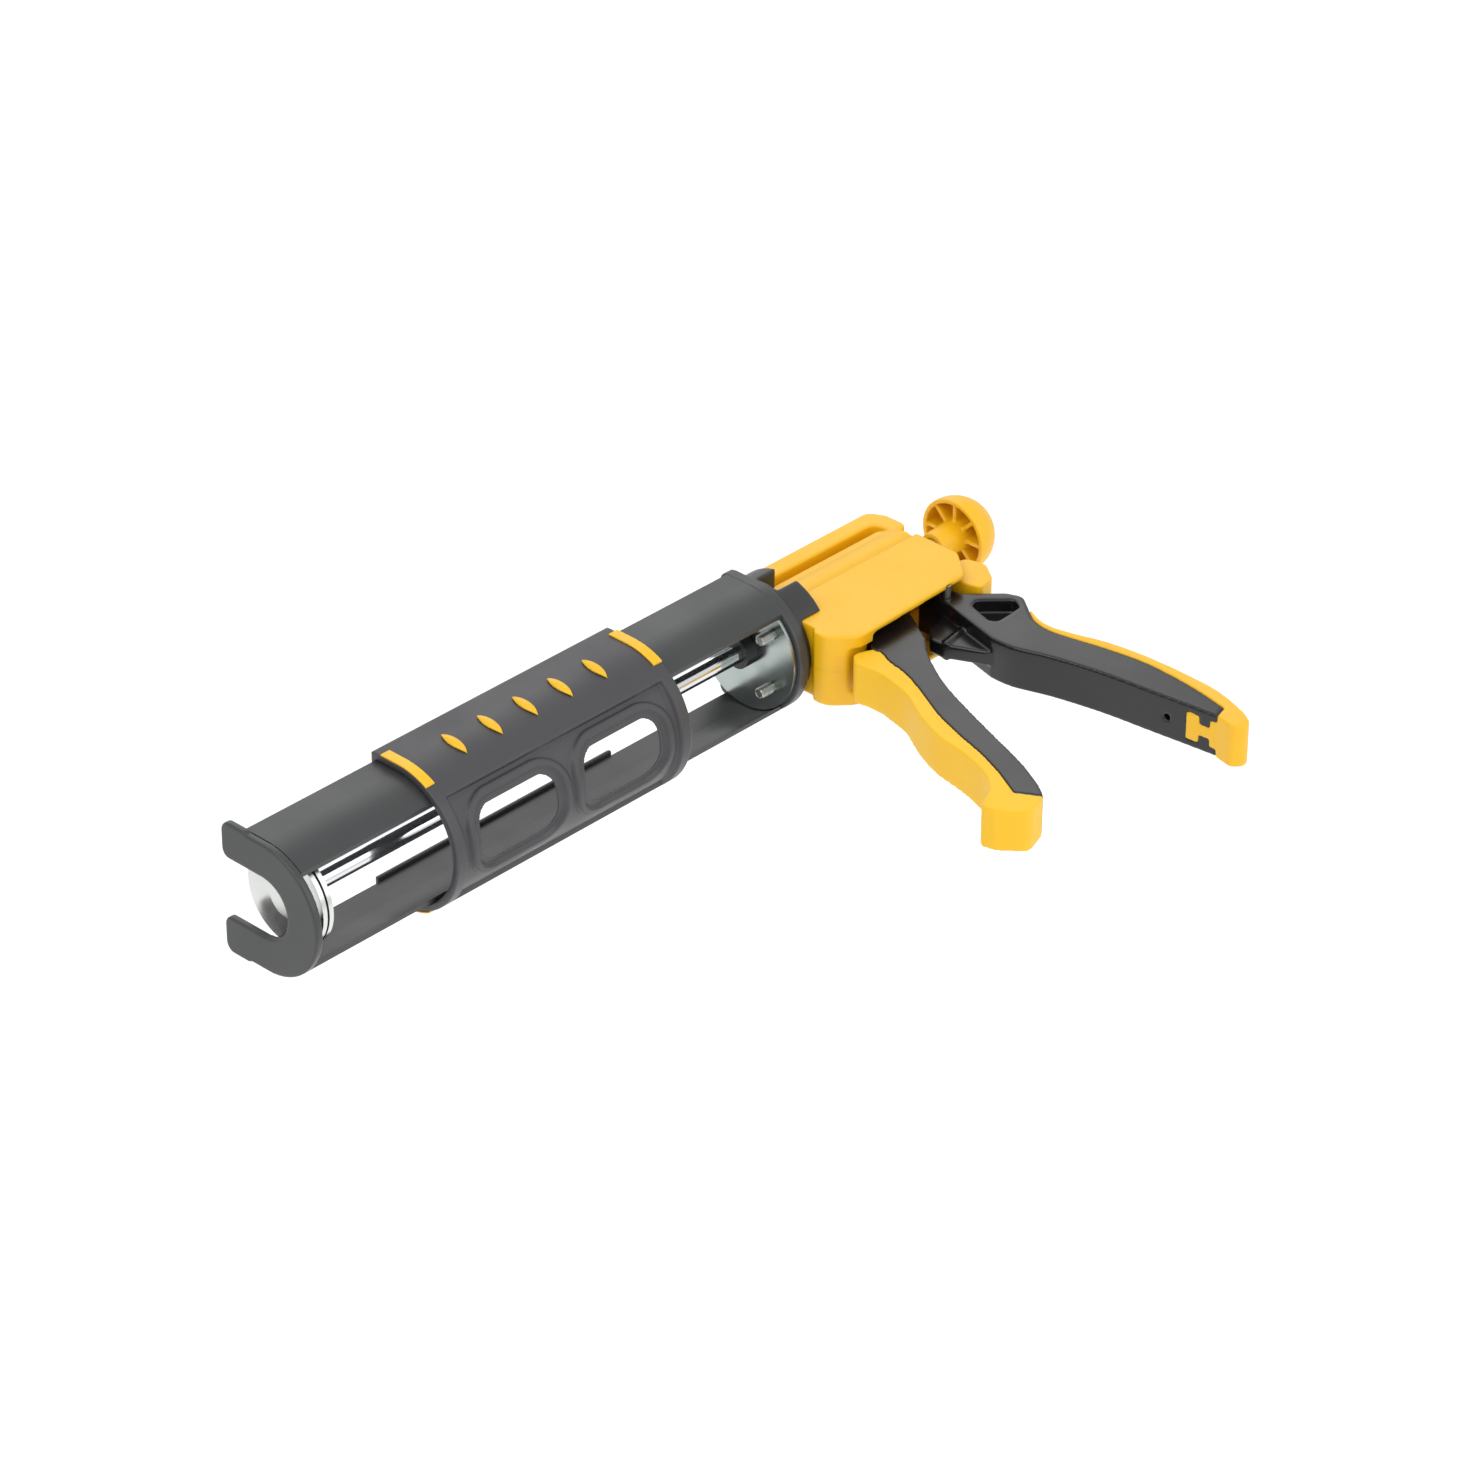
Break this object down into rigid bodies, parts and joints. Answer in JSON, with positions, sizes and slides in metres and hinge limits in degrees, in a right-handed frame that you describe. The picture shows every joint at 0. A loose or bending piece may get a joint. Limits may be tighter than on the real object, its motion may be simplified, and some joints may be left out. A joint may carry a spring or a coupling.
{
  "type": "caulking gun",
  "caption": "Manual caulking gun with an open cradle that turns on its body, a sliding grip sleeve, a push rod with plunger, trigger, handle and release lever.",
  "frame": {"origin": "on the rod's axis, on the inner face of the hook plate", "axes": "+X along the rod towards the knob, +Y towards the loading side, away from the handle, +Z towards the left side; the gun lies on its right side"},
  "size_m": [0.4257, 0.2314, 0.0686],
  "materials": {
    "cradle_paint": "dark grey powder coat",
    "grey_plastic": "moulded dark grey, fine grain",
    "grey_gloss": "moulded dark grey, satin gloss",
    "black_plastic": "moulded black",
    "yellow_plastic": "moulded warm yellow",
    "yellow_rubber": "soft overmould, matte",
    "zinc_steel": "zinc plated sheet",
    "bright_steel": "bright pressed sheet",
    "plain_steel": "hardened, plain",
    "screw_steel": "zinc plated",
    "spring_steel": "drawn wire",
    "rod_chrome": "chrome plated"
  },
  "bodies": {
    "body": {"body_left": "yellow_plastic", "body_right": "yellow_plastic", "body_screws": "screw_steel", "handle_core": "grey_gloss", "handle_backstrap": "yellow_plastic", "handle_pins": "screw_steel", "trigger_pin": "screw_steel", "release_pin": "screw_steel", "collar": "black_plastic", "backing_plate": "zinc_steel", "plate_screws": "screw_steel", "rod_bush": "black_plastic"},
    "cradle": {"hook_plate": "cradle_paint", "upper_strip": "cradle_paint", "lower_strip": "cradle_paint", "rear_ring": "cradle_paint"},
    "sleeve": {"sleeve": "grey_plastic", "sleeve_inlays": "yellow_plastic"},
    "rod": {"push_rod": "rod_chrome", "plunger_front": "bright_steel", "plunger_rear": "bright_steel", "plunger_spacer": "black_plastic", "plunger_nut": "screw_steel", "knob": "yellow_plastic", "knob_screw": "screw_steel"},
    "trigger": {"trigger_core": "grey_gloss", "trigger_grip": "yellow_rubber", "trigger_roller": "screw_steel"},
    "drive": {"drive_plates": "plain_steel", "drive_spring": "spring_steel"},
    "brake": {"brake_plate": "plain_steel", "brake_spring": "spring_steel"},
    "release": {"release_lever": "yellow_plastic"}
  },
  "joints": [
    {"name": "rod_slide", "type": "slide", "parent": "body", "child": "rod", "axis": [1, 0, 0], "range_m": [-0.007, 0.245]},
    {"name": "cradle_swivel", "type": "hinge", "parent": "body", "child": "cradle", "pos_m": [0.27, 0, 0], "axis": [1, 0, 0], "continuous": true},
    {"name": "sleeve_slide", "type": "slide", "parent": "cradle", "child": "sleeve", "axis": [1, 0, 0], "range_m": [-0.06, 0.06]},
    {"name": "trigger_pull", "type": "hinge", "parent": "body", "child": "trigger", "pos_m": [0.322, -0.027, 0], "axis": [0, 0, 1], "range_deg": [0, 26], "stiffness_Nm_per_rad": 1.2, "springref_deg": -22.92},
    {"name": "drive_stroke", "type": "slide", "parent": "body", "child": "drive", "axis": [1, 0, 0], "range_m": [-0.0075, 0], "deforming": ["drive_spring"]},
    {"name": "release_press", "type": "hinge", "parent": "body", "child": "release", "pos_m": [0.366, -0.032, 0], "axis": [0, 0, 1], "range_deg": [0, 7], "stiffness_Nm_per_rad": 1.5, "springref_deg": -5.73},
    {"name": "brake_tilt", "type": "hinge", "parent": "body", "child": "brake", "pos_m": [0.3575, 0.0088, 0], "axis": [0, 0, 1], "range_deg": [-3, 0], "deforming": ["brake_spring"]}
  ],
  "couplings": [
    {"joint": "drive_stroke", "follows": "trigger_pull", "m_per_rad": -0.015},
    {"joint": "brake_tilt", "follows": "release_press", "ratio": -0.4}
  ]
}
